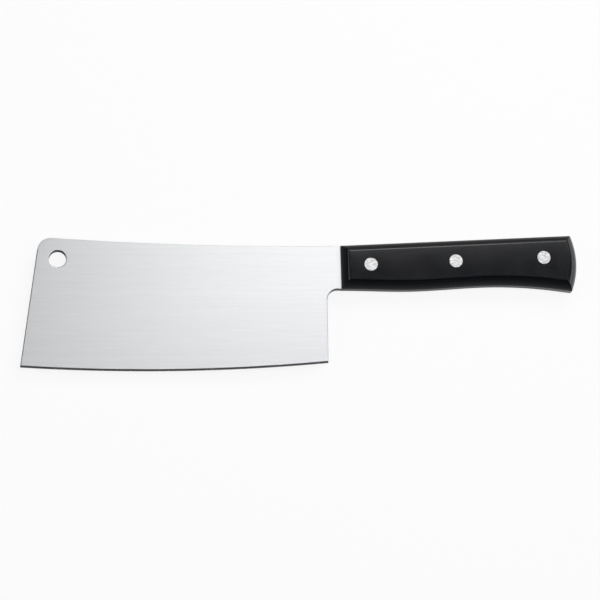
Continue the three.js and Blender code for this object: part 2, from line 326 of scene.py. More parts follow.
def grid_quads(rows, columns):
    """Quads of a grid, anticlockwise where rows climb and columns run to the right."""
    index = np.arange(rows * columns).reshape(rows, columns)
    corners = index[:-1, :-1], index[:-1, 1:], index[1:, 1:], index[1:, :-1]
    return np.stack(corners, axis=-1)


def surface(grid):
    """A whole grid of points as a surface."""
    return grid.reshape(-1, 3), grid_quads(*grid.shape[:2]).reshape(-1, 4)


def closed(loops):
    """Loops of points that end where they start."""
    return np.concatenate((loops, loops[:, :1]), axis=1)


def band(loops):
    """A surface through closed loops that have the same number of points."""
    return surface(closed(loops))


def flipped(skin):
    """The same surface facing the other way."""
    points, quads = skin
    return points, quads[:, ::-1]


def mirrored(skin):
    """The surface's image across the middle of the plate."""
    points, quads = skin
    return points * (1, 1, -1), quads[:, ::-1]


def rim_of(grid):
    """The boundary of a grid, anticlockwise from its first point."""
    sides = grid[0, :-1], grid[:-1, -1], grid[-1, :0:-1], grid[:0:-1, 0]
    return np.concatenate(sides)


def arc(centre, radius, turn):
    """X and Y of points on a circle, at angles that turn from +X."""
    return centre + radius * np.stack([np.cos(turn), np.sin(turn)], axis=-1)


def circle(centre, radius, height, count):
    """Points round a circle, from the lower left, at one height."""
    turn = np.radians(-135) + np.arange(count) * (2 * math.pi / count)
    return np.column_stack((arc(centre, radius, turn), np.full(count, height)))


def drilled(grid, drills, height):
    """A grid with round holes. A square block of cells round each hole is taken out, and
    its place is filled with rings that pass from the block's edge into the circle.
    Each drill is (centre, radius, half the block's side in cells), and height gives the
    surface's Z at points of X and Y."""
    keep = np.ones((grid.shape[0] - 1, grid.shape[1] - 1), bool)
    fills = []
    mouths = []
    for centre, radius, reach in drills:
        away = np.hypot(grid[..., 0] - centre[0], grid[..., 1] - centre[1])
        row, column = np.unravel_index(away.argmin(), away.shape)
        block = slice(row - reach, row + reach + 1), slice(column - reach, column + reach + 1)
        keep[row - reach:row + reach, column - reach:column + reach] = False
        outer = rim_of(grid[block])
        mouth = circle(centre, radius, 0, len(outer))
        mouth[:, 2] = height(mouth[:, 0], mouth[:, 1])
        fills.append(band(outer * (1 - RING_SHARES) + mouth * RING_SHARES))
        mouths.append(mouth)
    quads = grid_quads(*grid.shape[:2])[keep]
    return [(grid.reshape(-1, 3), quads), *fills], mouths


def level(z):
    """The height of a flat surface: the same Z at all points of X and Y."""
    return lambda x, y: np.full_like(x, z)


def shaft(mouth, centre, steps):
    """The wall of a round hole, from its mouth down through (radius, height) steps."""
    rings = [circle(centre, radius, height, len(mouth)) for radius, height in steps]
    return band(np.stack([mouth, *rings]))


def turned(profile, centre):
    """A solid of revolution: the (radius, height) profile carried round an upright axis.
    The profile runs anticlockwise, so that the skin faces out."""
    rings = [circle(centre, radius, height, RIVET_SIDES) for radius, height in profile]
    return band(np.stack(rings))


def welded(skins):
    """One mesh from surfaces: points that coincide become one, a quad with a collapsed side
    becomes a triangle, and points that no face uses go. Returns points, faces and, for each
    face, the index of the surface that it came from."""
    starts = np.cumsum([0] + [len(points) for points, _ in skins[:-1]])
    points = np.concatenate([points for points, _ in skins])
    quads = np.concatenate([quads + start for (_, quads), start in zip(skins, starts)])
    origin = np.repeat(np.arange(len(skins)), [len(quads) for _, quads in skins])
    _, first, where = np.unique(
        points.round(WELD_DIGITS), axis=0, return_index=True, return_inverse=True,
    )
    quads = where.reshape(-1)[quads]
    used, quads = np.unique(quads, return_inverse=True)
    quads = quads.reshape(-1, 4)
    same = quads == np.roll(quads, -1, axis=1)
    whole = ~same.any(axis=1)
    pinched = same.sum(axis=1) == 1
    keep = np.ones((pinched.sum(), 4), bool)
    keep[np.arange(len(keep)), same[pinched].argmax(axis=1)] = False
    triangles = quads[pinched][keep].reshape(-1, 3)
    faces = quads[whole].tolist() + triangles.tolist()
    return points[first][used], faces, np.concatenate((origin[whole], origin[pinched]))


class HandleShape:
    """Outline of the handle in datum coordinates, moved in by an inset."""

    def __init__(self, sizes):
        self.sizes = sizes
        self.datum = np.array([SCALE_LOW.x, SCALE_LOW.y + sizes.beak_drop, MIDDLE_Z])
        self.tail_centre = HANDLE_LENGTH - sizes.tail_radius, sizes.tail_centre_height

    def tail(self, y, inset):
        """X of the round tail end."""
        radius = self.sizes.tail_radius - inset
        return self.tail_centre[0] + np.sqrt(radius ** 2 - (y - self.tail_centre[1]) ** 2)

    def top(self, x, inset):
        """Y of the straight top edge, which climbs towards the tail."""
        rise = self.sizes.rise
        return self.sizes.front_height + x * math.tan(rise) - inset / math.cos(rise)

    def underside(self, x, inset):
        """Y of the underside: a palm swell, a hollow for the last fingers and a beak."""
        sizes = self.sizes
        climb = smoothstep(x, sizes.swell_at, sizes.waist_at) * (sizes.swell_drop + sizes.waist_rise)
        swell = smoothstep(x, 0, sizes.swell_at) * sizes.swell_drop
        beak_x = self.tail(-sizes.beak_drop, 0)
        past_waist = np.maximum(0, x - sizes.waist_at) / (beak_x - sizes.waist_at)
        return inset + climb - swell - past_waist ** 2 * (sizes.waist_rise + sizes.beak_drop)

    def crowned(self, x, y, height=HALF_HANDLE):
        """Height of a level of the scale, the face if none is given, once it is crowned: a
        parabola across the handle that takes most off the face's edges and nothing off the
        seat."""
        inset = self.sizes.face_inset
        above, below = self.top(x, inset), self.underside(x, inset)
        off_middle = (2 * y - above - below) / (above - below)
        return height - self.sizes.crown * off_middle ** 2 * (height - SEAT) / (HALF_HANDLE - SEAT)

    def tail_corner(self, side, inset, tail_inset):
        """Where the top edge or the underside meets the tail."""
        x = HANDLE_LENGTH
        for _ in range(FIT_PASSES):
            y = side(x, inset)
            x = self.tail(y, tail_inset)
        return x, y

    def patch(self, inset, height, along, across):
        """A grid that fills the outline at one level of the scale: a Coons patch of its four
        sides, with shares along the handle and across it."""
        front_x = inset * self.sizes.front_inset / self.sizes.face_inset
        tail_inset = inset * self.sizes.tail_inset / self.sizes.face_inset
        lower = self.tail_corner(self.underside, inset, tail_inset)
        upper = self.tail_corner(self.top, inset, tail_inset)
        lower_x = front_x + along * (lower[0] - front_x)
        upper_x = front_x + along * (upper[0] - front_x)
        below = np.stack([lower_x, self.underside(lower_x, inset)], axis=-1)[None]
        above = np.stack([upper_x, self.top(upper_x, inset)], axis=-1)[None]
        ends = [math.atan2(y - self.tail_centre[1], x - self.tail_centre[0]) for x, y in (lower, upper)]
        turn = ends[0] + across * (ends[1] - ends[0])
        tail = arc(self.tail_centre, self.sizes.tail_radius - tail_inset, turn)[:, None]
        up = across[:, None, None]
        on = along[None, :, None]
        front = below[:, :1] * (1 - up) + above[:, :1] * up
        corners = (below[:, :1] * (1 - on) + below[:, -1:] * on) * (1 - up)
        corners = corners + (above[:, :1] * (1 - on) + above[:, -1:] * on) * up
        flat = below * (1 - up) + above * up + front * (1 - on) + tail * on - corners
        level = self.crowned(flat[..., 0], flat[..., 1], height)
        return np.concatenate((flat, level[..., None]), axis=-1)


class PlateShape:
    """Outline and thickness of blade and tang in datum coordinates."""

    def __init__(self, sizes, handle):
        self.sizes = sizes
        self.handle = handle
        self.heel_x = -sizes.heel_setback
        sag = math.sqrt(sizes.belly_radius ** 2 - sizes.belly_from_heel ** 2)
        self.belly = self.heel_x - sizes.belly_from_heel, sag - sizes.heel_drop
        sag = math.sqrt(sizes.spine_radius ** 2 - sizes.spine_low_ahead ** 2)
        self.spine = -sizes.spine_low_ahead, sag + handle.sizes.front_height
        toe_x = self.heel_x - sizes.edge_length
        self.toe = np.array([toe_x, self.belly_y(toe_x, 0)])
        self.along_toe = np.array([math.sin(sizes.toe_lean), math.cos(sizes.toe_lean)])
        self.into_blade = self.along_toe[::-1] * (1, -1)
        self.choil_x = self.heel_x + sizes.choil_radius

    def belly_y(self, x, rise):
        """Y of the line that keeps one height above the cutting edge, a large circle."""
        return self.belly[1] - np.sqrt((self.sizes.belly_radius - rise) ** 2 - (x - self.belly[0]) ** 2)

    def spine_y(self, x, inset):
        """Y of the spine, a larger circle."""
        return self.spine[1] - np.sqrt((self.sizes.spine_radius + inset) ** 2 - (x - self.spine[0]) ** 2)

    def toe_line(self, y, inset):
        """X of the straight toe."""
        lean = self.sizes.toe_lean
        return self.toe[0] + (y - self.toe[1]) * math.tan(lean) + inset / math.cos(lean)

    def rise(self, x, y):
        """Height above the cutting edge, square to it."""
        return self.sizes.belly_radius - np.hypot(x - self.belly[0], y - self.belly[1])

    def half_thickness(self, x, rise):
        """Half the plate's thickness: full on the flat and the tang, then a grind that falls
        off by a power of the way down, then the straight sharpening bevel."""
        sizes = self.sizes
        shoulder = sizes.shoulder_thickness / 2
        edge = sizes.edge_thickness / 2
        way = np.clip((sizes.grind_height - rise) / (sizes.grind_height - sizes.bevel_height), 0, 1)
        grind = HALF_STOCK - way ** sizes.grind_power * (HALF_STOCK - shoulder)
        bevel = edge + np.clip(rise / sizes.bevel_height, 0, 1) * (shoulder - edge)
        return np.where(x > 0, HALF_STOCK, np.where(rise < sizes.bevel_height, bevel, grind))

    def broken(self, x, half):
        """Radius of the broken edge: full on the blade, small on the tang, less where thin."""
        sizes = self.sizes
        tang = smoothstep(x, self.choil_x, 0)
        full = sizes.edge_round + tang * (sizes.tang_round - sizes.edge_round)
        return np.minimum(full, THIN_SHARE * half)

    def toe_corner(self, from_toe, from_spine):
        """The point that keeps one distance from the toe line and another from the spine."""
        start = self.toe + self.into_blade * from_toe
        offset = start - self.spine
        fall = offset @ self.along_toe
        reach = math.sqrt(fall ** 2 - offset @ offset + (self.sizes.spine_radius + from_spine) ** 2)
        return start - self.along_toe * (fall + reach)

    def raised(self, x, y):
        """Points of the plate's upper skin."""
        return np.stack([x, y, self.half_thickness(x, self.rise(x, y))], axis=-1)

    def blade_rows(self):
        """What sets each row of the blade: its height above the edge, its share of the way
        from rows that follow the edge to rows that follow the spine, and its drop below the
        spine. The last rows end on the round of the toe corner. Also gives the left end of
        those rows, and the row that starts at the choil."""
        sizes = self.sizes
        inset = sizes.edge_round
        bevel = sizes.bevel_height
        choil = self.rise(self.heel_x - inset, -sizes.choil_radius)
        low = np.concatenate((
            [EDGE_ROW, bevel - SUPPORT / 3, bevel],
            np.linspace(bevel + SUPPORT / 2, choil, GRIND_ROWS),
            np.linspace(choil, sizes.grind_height, GRIND_TOP_ROWS + 1)[1:],
        ))
        centre = self.toe_corner(sizes.toe_corner_radius, sizes.toe_corner_radius)
        to_spine = np.array(self.spine) - centre
        ends = math.pi - sizes.toe_lean, math.atan2(to_spine[1], to_spine[0])
        turn = np.linspace(*ends, CORNER_STEPS + 1)
        corner = arc(centre, sizes.toe_corner_radius - inset, turn)
        drop = self.spine_y(corner[:, 0], inset) - corner[:, 1]
        drop[-1] = 0
        flat = np.linspace(0, 1, FLAT_ROWS + 1)[1:-1]
        rise = np.concatenate((low, np.full(len(flat) + len(drop), sizes.grind_height)))
        share = np.concatenate((np.zeros(len(low)), flat, np.ones(len(drop))))
        drop = np.concatenate((np.full(len(low) + len(flat), drop[0]), drop))
        return rise, share, drop, corner[:, 0], BEVEL_ROW + GRIND_ROWS

    def blade_grid(self):
        """The bare blade's upper skin, toe to heel and edge to spine, and its choil row."""
        rise, share, drop, corner_x, choil_row = self.blade_rows()
        inset = self.broken(self.heel_x, self.half_thickness(self.heel_x, rise))

        def row_y(x, rise, share, drop):
            """Y of a row, a mix of the line above the edge and the line below the spine."""
            above = self.spine_y(x, self.sizes.edge_round) - drop
            return self.belly_y(x, rise) * (1 - share) + above * share

        left = np.full(len(rise), self.toe[0])
        for _ in range(FIT_PASSES):
            left = self.toe_line(row_y(left, rise, share, drop), inset)
        left[-len(corner_x):] = corner_x
        right = self.heel_x - inset
        along = spaced(BLADE_COLUMNS, SUPPORT / self.sizes.edge_length)
        x = left[:, None] + (right - left)[:, None] * along
        y = row_y(x, rise[:, None], share[:, None], drop[:, None])
        return self.raised(x, y), choil_row

    def lower_y(self, x):
        """Y of the underside: the choil's round, the neck, then the handle's underside."""
        inset = self.broken(x, HALF_STOCK)
        radius = self.sizes.choil_radius
        ahead = np.clip(self.choil_x - x, 0, radius + inset)
        neck = np.sqrt((radius + inset) ** 2 - ahead ** 2) - radius
        return np.where(x < 0, neck, self.handle.underside(x, inset))

    def upper_y(self, x):
        """Y of the upper side: the spine, then the handle's top edge."""
        inset = self.broken(x, HALF_STOCK)
        return np.where(x < 0, self.spine_y(x, inset), self.handle.top(x, inset))

    def tang_grid(self, heel):
        """The upper skin from the heel's column of points to the tail."""
        up = (heel[:, 1] - heel[0, 1]) / (heel[-1, 1] - heel[0, 1])
        inset = self.sizes.tang_round
        turn = np.linspace(math.pi, math.pi / 2, CHOIL_STEPS + 1)[1:]
        round_x = self.choil_x + (self.sizes.choil_radius + self.sizes.edge_round) * np.cos(turn)
        neck_x = np.concatenate((round_x, np.linspace(self.choil_x, 0, NECK_STEPS + 1)[1:]))
        end_x = np.full(len(up), HANDLE_LENGTH)
        for _ in range(FIT_PASSES):
            low_y = self.handle.underside(end_x, inset)
            end_y = low_y + up * (self.handle.top(end_x, inset) - low_y)
            end_x = self.handle.tail(end_y, inset)
        tang_x = end_x[:, None] * np.linspace(0, 1, TANG_COLUMNS + 1)[1:]
        x = np.concatenate((np.broadcast_to(neck_x, (len(up), len(neck_x))), tang_x), axis=1)
        y = self.lower_y(x) + up[:, None] * (self.upper_y(x) - self.lower_y(x))
        return np.concatenate((heel[:, None], self.raised(x, y)), axis=1)

    def edge_band(self, rim):
        """The wall round the outline in two sets of loops: a quarter round of the broken edge
        from the upper skin's rim, and from there straight down to the middle of the plate."""
        ahead = np.roll(rim, -1, axis=0) - np.roll(rim, 1, axis=0)
        outward = np.stack([ahead[:, 1], -ahead[:, 0]], axis=-1)
        outward /= np.linalg.norm(outward, axis=-1, keepdims=True)
        radius = self.broken(rim[:, 0], rim[:, 2])[:, None]
        turn = np.linspace(0, math.pi / 2, EDGE_STEPS + 1)[:, None, None]
        out = rim[:, :2] + outward * radius * np.sin(turn)
        down = rim[:, 2:] - radius * (1 - np.cos(turn))
        rounds = np.concatenate((out, down), axis=-1)
        wall = np.stack([rounds[-1], rounds[-1] * (1, 1, 0)])
        return rounds, wall


# Materials


def add_node(tree, kind, inputs=None, **settings):
    """Adds a shader node, sets its properties, and sets or links its inputs. A node that is
    given as an input stands for its first output."""
    node = tree.nodes.new("ShaderNode" + kind)
    for name, value in settings.items():
        setattr(node, name, value)
    for socket, value in (inputs or {}).items():
        if isinstance(value, bpy.types.Node):
            value = value.outputs[0]
        if isinstance(value, bpy.types.NodeSocket):
            tree.links.new(value, node.inputs[socket])
        else:
            node.inputs[socket].default_value = value
    return node


def new_material(name):
    """An empty node material and its node tree."""
    material = bpy.data.materials.new(name)
    material.use_nodes = True
    material.node_tree.nodes.clear()
    return material, material.node_tree


def scaled(tone, share):
    """A colour with its light scaled and its alpha kept full."""
    return [share * part for part in tone[:3]] + [1.0]


def satin_steel(name, tone, grain, roughness, spread):
    """Stainless steel worked with grit, which leaves fine parallel scratches. The sheen
    stretches across them by the given spread, and faint streaks show along them. Grain is
    their length and width in millimetres, drawn coarse enough to show: the real scratches
    are some hundredths of a millimetre wide."""
    material, tree = new_material(name)
    place = add_node(tree, "TexCoord").outputs["Object"]
    along, across = (millimetres * MM for millimetres in grain)
    fine = add_node(tree, "Mapping", {"Vector": place, "Scale": (1 / along, 1 / across, 1 / across)})
    broad = add_node(tree, "Mapping", {
        "Vector": place, "Scale": (BANDS_ALONG / along, BANDS_ACROSS / across, BANDS_ACROSS / across),
    })
    streaks, bands = (
        add_node(tree, "TexNoise", {"Vector": pattern, "Scale": 1.0}) for pattern in (fine, broad)
    )
    both = add_node(tree, "Math", {0: bands, 1: BANDS_WEIGHT, 2: streaks}, operation="MULTIPLY_ADD")
    tint = add_node(tree, "MapRange", {0: both, "From Min": 0.5, "From Max": 1.1})
    base = add_node(tree, "Mix", {
        "Factor": tint, "A": scaled(tone, STREAK_DARK), "B": tone,
    }, data_type="RGBA")
    sheen = add_node(tree, "MapRange", {
        0: streaks, "From Min": 0.3, "From Max": 0.7,
        "To Min": roughness - STREAK_SWING, "To Max": roughness + STREAK_SWING,
    })
    scratch = add_node(tree, "Bump", {"Height": streaks, "Strength": 0.06, "Distance": 0.02 * MM})
    tangent = add_node(tree, "Tangent", direction_type="UV_MAP", uv_map="across_grain")
    shader = add_node(tree, "BsdfPrincipled", {
        "Base Color": base.outputs["Result"], "Metallic": 1.0, "Roughness": sheen,
        "Anisotropic": spread, "Normal": scratch, "Tangent": tangent,
    })
    add_node(tree, "OutputMaterial", {"Surface": shader})
    return material


def black_acetal(name, tone, roughness, specular):
    """Acetal scales, made in a mould. The plastic is close to black, so what shows is its
    even gloss, set by the given roughness and specular level, with a faint mottle from
    the grit that is drawn coarse enough to show."""
    material, tree = new_material(name)
    place = add_node(tree, "TexCoord").outputs["Object"]
    grit = add_node(tree, "TexNoise", {
        "Vector": place, "Scale": 1 / MOTTLE_SIZE, "Detail": 3.0, "Roughness": 0.6,
    })
    cloud = add_node(tree, "TexNoise", {"Vector": place, "Scale": 1 / CLOUD_SIZE})
    both = add_node(tree, "Math", {0: grit, 1: cloud}, operation="ADD")
    gloss = add_node(tree, "MapRange", {
        0: both, "From Min": 0.6, "From Max": 1.4,
        "To Min": roughness - GLOSS_SWING, "To Max": roughness + GLOSS_SWING,
    })
    base = add_node(tree, "Mix", {
        "Factor": grit, "A": tone, "B": scaled(tone, MOTTLE_PALE),
    }, data_type="RGBA")
    bump = add_node(tree, "Bump", {"Height": grit, "Strength": 0.1, "Distance": 0.01 * MM})
    shader = add_node(tree, "BsdfPrincipled", {
        "Base Color": base.outputs["Result"], "Roughness": gloss, "IOR": 1.48,
        "Specular IOR Level": specular, "Normal": bump,
    })
    add_node(tree, "OutputMaterial", {"Surface": shader})
    return material


def ground_rivet_steel(tone):
    """Stainless rivet heads, ground flush with the scales. Short scratches on one slant make
    a dull, slightly speckled sheen. They are drawn coarse enough to show."""
    material, tree = new_material("stainless_rivet_ground_flush")
    place = add_node(tree, "TexCoord").outputs["Object"]
    along, across = (millimetres * MM for millimetres in SCORE_GRAIN)
    slanted = add_node(tree, "Mapping", {
        "Vector": place, "Location": (SCORE_START, 0, 0), "Rotation": (0, 0, SCORE_SLANT),
        "Scale": (1 / along, 1 / across, 1.0),
    })
    scores = add_node(tree, "TexNoise", {
        "Vector": slanted, "Scale": 1.0, "Detail": 3.0, "Roughness": 0.6, "Distortion": 0.4,
    })
    speckle = add_node(tree, "MapRange", {0: scores, "From Min": 0.3, "From Max": 0.7})
    base = add_node(tree, "Mix", {
        "Factor": speckle, "A": scaled(tone, SCORE_DARK), "B": tone,
    }, data_type="RGBA")
    dull, duller = SCORE_SHEEN
    sheen = add_node(tree, "MapRange", {0: speckle, "To Min": dull, "To Max": duller})
    scratch = add_node(tree, "Bump", {"Height": speckle, "Strength": 0.2, "Distance": 0.02 * MM})
    shader = add_node(tree, "BsdfPrincipled", {
        "Base Color": base.outputs["Result"], "Metallic": 1.0, "Roughness": sheen, "Normal": scratch,
    })
    add_node(tree, "OutputMaterial", {"Surface": shader})
    return material


def seen_white(tree, reflected):
    """White that is seen and lights nothing: the table's own to the camera, and what the
    given node says in reflections and through clear things."""
    ray = add_node(tree, "LightPath").outputs
    bent = add_node(tree, "Math", {
        0: ray["Is Glossy Ray"], 1: ray["Is Transmission Ray"],
    }, operation="MAXIMUM")
    bent = add_node(tree, "Math", {0: bent, 1: reflected}, operation="MULTIPLY")
    straight = add_node(tree, "Math", {0: ray["Is Camera Ray"], 1: TABLE_WHITE}, operation="MULTIPLY")
    return add_node(tree, "Math", {0: bent, 1: straight}, operation="MAXIMUM")


def white_table(tone):
    """A matt white table. Part of its white is given to what looks at it, straight or by
    a reflection, so that the ground stays pale and still takes the cleaver's shadow. In
    reflections that white is dimmed close to the cleaver by ambient occlusion: painted
    shade for the table in the cleaver's shade."""
    material, tree = new_material("white_table_matt")
    shade = add_node(tree, "AmbientOcclusion", {"Distance": SHADE_REACH}, samples=SHADE_SAMPLES)
    dim = add_node(tree, "Math", {0: shade.outputs["AO"], 1: SHADE_POWER}, operation="POWER")
    dim = add_node(tree, "Math", {0: dim, 1: TABLE_WHITE}, operation="MULTIPLY")
    matt = add_node(tree, "BsdfDiffuse", {"Color": tone})
    light = add_node(tree, "Emission", {"Strength": seen_white(tree, dim)})
    both = add_node(tree, "AddShader", {0: matt, 1: light})
    add_node(tree, "OutputMaterial", {"Surface": both})
    return material


# Pieces and stage


def make_piece(name, skins, datum, finishes, node):
    """Makes one closed piece of the cleaver from its surfaces and hangs it on the frame.
    Finishes are (material, number of surfaces that take it), in order."""
    points, faces, origin = welded(skins)
    mesh = bpy.data.meshes.new(name)
    mesh.from_pydata((points + datum).tolist(), [], faces)
    kinds = np.repeat(np.arange(len(finishes)), [count for _, count in finishes])
    mesh.polygons.foreach_set("material_index", kinds[origin].astype(np.int32))
    for material, _ in finishes:
        mesh.materials.append(material)
    corner_points = np.empty(len(mesh.loops), np.int32)
    mesh.loops.foreach_get("vertex_index", corner_points)
    across_grain = mesh.uv_layers.new(name="across_grain")
    across_grain.uv.foreach_set("vector", points[corner_points][:, 1::-1].astype(np.float32).ravel())
    mesh.shade_smooth()
    mesh.set_sharp_from_angle(angle=SHARP)
    mesh.validate()
    piece = bpy.data.objects.new(name, mesh)
    bpy.context.scene.collection.objects.link(piece)
    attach(piece, "root")
    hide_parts(node)


def rivet_centre(rivet, datum):
    """Where a rivet's axis crosses the plate, in datum coordinates."""
    low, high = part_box(f"{rivet}_socket")
    return np.array((low + high) / 2)[:2] - datum[:2]


class CLEAVER_OT_make_blade(bpy.types.Operator):
    """Make the ground blade with its tang, hanging hole and rivet holes"""

    bl_idname = "cleaver.make_blade"
    bl_label = "Blade and Tang"

    def execute(self, context):
        scene = context.scene
        sizes = scene.cleaver_plate
        rivets = scene.cleaver_rivets
        handle = HandleShape(scene.cleaver_handle)
        plate = PlateShape(sizes, handle)
        blade, choil_row = plate.blade_grid()
        tang = plate.tang_grid(blade[choil_row:, -1])
        hole = plate.toe_corner(sizes.hole_from_toe, sizes.hole_from_spine)
        bore = sizes.hole_diameter / 2
        lip = sizes.hole_lip
        flat = level(HALF_STOCK)
        brushed, mouths = drilled(blade[BEVEL_ROW:], [(hole, bore + lip, HANGING_CELLS)], flat)
        turn = np.linspace(0, math.pi / 2, EDGE_STEPS + 1)[1:]
        lip_steps = zip(bore + lip * (1 - np.sin(turn)), HALF_STOCK - lip * (1 - np.cos(turn)))
        honed = [surface(blade[:BEVEL_ROW + 1]), shaft(mouths[0], hole, lip_steps)]
        foot = circle(hole, bore, HALF_STOCK - lip, len(mouths[0]))
        # The hole's bore takes the darkest steel, as painted shade
        bare = [shaft(foot, hole, [(bore, 0)])]
        barrel = rivets.barrel_diameter / 2 + rivets.fit
        centres = [rivet_centre(rivet, handle.datum) for rivet in RIVETS]
        drills = [(centre, barrel, TANG_CELLS) for centre in centres]
        tang_faces, tang_mouths = drilled(tang, drills, flat)
        bare += [shaft(mouth, centre, [(barrel, 0)]) for mouth, centre in zip(tang_mouths, centres)]
        brushed += tang_faces
        edge_and_heel = np.concatenate((blade[0, :-1], blade[:choil_row, -1]))
        choil_to_tail = np.concatenate((tang[0, :-1], tang[:-1, -1]))
        corner = blade[:-CORNER_STEPS - 1:-1, 0]
        top_to_corner = np.concatenate((tang[-1, :0:-1], blade[-1, :0:-1], corner))
        toe = blade[-CORNER_STEPS - 1:0:-1, 0]
        runs = edge_and_heel, choil_to_tail, top_to_corner, toe
        rounds, wall = plate.edge_band(np.concatenate(runs))
        rounds = closed(rounds)
        ends = np.cumsum([0] + [len(run) for run in runs])
        edge_round, under_round, top_round, toe_round = (
            flipped(surface(rounds[:, start:end + 1])) for start, end in zip(ends, ends[1:])
        )
        brushed += [edge_round, top_round]
        # Painted shade: the tang's underside, the outline's wall, the toe's round and the bores take the
        # darker steels, for the table in the cleaver's shade that they mirror
        linished = [under_round, flipped(band(wall))]
        bare.append(toe_round)
        skins = []
        finishes = []
        for group, (name, steel, *work) in zip((brushed, honed, linished, bare), STEEL_FINISHES):
            skins += group + [mirrored(skin) for skin in group]
            tone = list(getattr(scene.cleaver_finishes, steel))
            finishes.append((satin_steel(name, tone, *work), 2 * len(group)))
        make_piece("cleaver_blade", skins, handle.datum, finishes, "blade")
        return {"FINISHED"}


class CLEAVER_OT_make_scales(bpy.types.Operator):
    """Make the two handle scales with their curved side walls and stepped rivet holes"""

    bl_idname = "cleaver.make_scales"
    bl_label = "Handle Scales"

    def execute(self, context):
        scene = context.scene
        sizes = scene.cleaver_handle
        rivets = scene.cleaver_rivets
        handle = HandleShape(sizes)
        along = spaced(SCALE_COLUMNS, SUPPORT / HANDLE_LENGTH)
        across = spaced(SCALE_ROWS, SUPPORT / sizes.front_height)
        levels = self.wall_profile(sizes)
        patches = [handle.patch(inset, height, along, across) for inset, height in levels]
        rims = closed(np.stack([rim_of(patch) for patch in reversed(patches)]))
        rounds = rims[:ROUND_STEPS + 1]
        walls = rims[ROUND_STEPS:]
        upper = SCALE_COLUMNS + SCALE_ROWS
        # Painted shade: the round along the underside and every side wall but the tail's take a copy of
        # the plastic with a far weaker gloss, so that they look darker; the other rounds, the tail wall,
        # the faces and the bores keep the satin
        painted_shade_sides = [rounds[:, :SCALE_COLUMNS + 1], walls[:, :SCALE_COLUMNS + 1], walls[:, upper:]]
        satin_sides = [rounds[:, SCALE_COLUMNS:], walls[:, SCALE_COLUMNS:upper + 1]]
        sides = [flipped(surface(side)) for side in painted_shade_sides + satin_sides]
        centres = [rivet_centre(rivet, handle.datum) for rivet in RIVETS]
        barrel = rivets.barrel_diameter / 2 + rivets.fit
        head = HEAD_RADIUS + rivets.fit
        seat = HALF_HANDLE - rivets.head_depth - rivets.fit
        broken = rivets.edge_break
        drills = [(centre, head + broken, SCALE_CELLS) for centre in centres]
        faces, mouths = drilled(patches[-1], drills, handle.crowned)
        drills = [(centre, barrel, SCALE_CELLS) for centre in centres]
        under, _ = drilled(patches[0], drills, level(SEAT))
        steps = [(head, HALF_HANDLE - broken), (head, seat), (barrel, seat), (barrel, SEAT)]
        bores = [shaft(mouth, centre, steps) for mouth, centre in zip(mouths, centres)]
        skins = [*sides, *faces, *[flipped(skin) for skin in under], *bores]
        black = list(scene.cleaver_finishes.acetal)
        # The weak-gloss copy is painted shade; the satin copy is the plastic's own gloss
        painted_shade_acetal = black_acetal("black_acetal_moulded", black, roughness=0.22, specular=0.075)
        satin = black_acetal("black_acetal_satin", black, roughness=0.2, specular=0.5)
        finishes = [(painted_shade_acetal, len(painted_shade_sides)), (satin, len(skins) - len(painted_shade_sides))]
        for node, image in (("front_scale", skins), ("back_scale", [mirrored(skin) for skin in skins])):
            make_piece(f"cleaver_{node}", image, handle.datum, finishes, node)
        return {"FINISHED"}

    def wall_profile(self, sizes):
        """Steps of (inset, height) up the side wall: a quadratic curve from the tang towards
        the knee and on to the face, with a round where it meets the face."""
        thickness = HALF_HANDLE - SEAT
        knee = np.array([sizes.knee_inset, sizes.knee_height])
        top = np.array([sizes.face_inset, thickness])
        run, climb = top - knee
        slope = math.atan2(climb, run)
        reach = sizes.face_round * math.tan(slope / 2)
        share = np.linspace(0, 1 - reach / (2 * math.hypot(run, climb)), WALL_STEPS + 1)[:, None]
        wall = 2 * share * (1 - share) * knee + share ** 2 * top
        turn = np.linspace(slope, 0, ROUND_STEPS + 1)[1:]
        centre = top + (reach, -sizes.face_round)
        corner = centre + sizes.face_round * np.stack([-np.sin(turn), np.cos(turn)], axis=-1)
        return np.concatenate((wall, corner)) + (0, SEAT)


class CLEAVER_OT_make_rivets(bpy.types.Operator):
    """Make the three rivets, each a socket half and a pin half"""

    bl_idname = "cleaver.make_rivets"
    bl_label = "Rivets"

    def execute(self, context):
        scene = context.scene
        sizes = scene.cleaver_rivets
        datum = HandleShape(scene.cleaver_handle).datum
        finish = ground_rivet_steel(list(scene.cleaver_finishes.rivet_steel))
        head = HEAD_RADIUS
        barrel = sizes.barrel_diameter / 2
        pin = sizes.pin_diameter / 2
        bore = pin + sizes.fit
        broken = sizes.edge_break
        seat = HALF_HANDLE - sizes.head_depth
        bore_top = HALF_HANDLE - sizes.crown_wall
        barrel_end = sizes.barrel_short - seat
        pin_end = bore_top - sizes.pin_short
        profiles = {
            "socket": [
                (0, bore_top), (bore, bore_top), (bore, barrel_end), (barrel, barrel_end),
                (barrel, seat), (head, seat), (head, HALF_HANDLE - broken),
                (head - broken, HALF_HANDLE), (0, HALF_HANDLE),
            ],
            "pin": [
                (0, -HALF_HANDLE), (head - broken, -HALF_HANDLE), (head, broken - HALF_HANDLE),
                (head, -seat), (pin, -seat), (pin, pin_end), (0, pin_end),
            ],
        }
        for rivet in RIVETS:
            centre = rivet_centre(rivet, datum)
            for half, profile in profiles.items():
                node = f"{rivet}_{half}"
                skins = [turned(profile, centre)]
                make_piece(f"cleaver_{node}", skins, datum, [(finish, 1)], node)
        return {"FINISHED"}


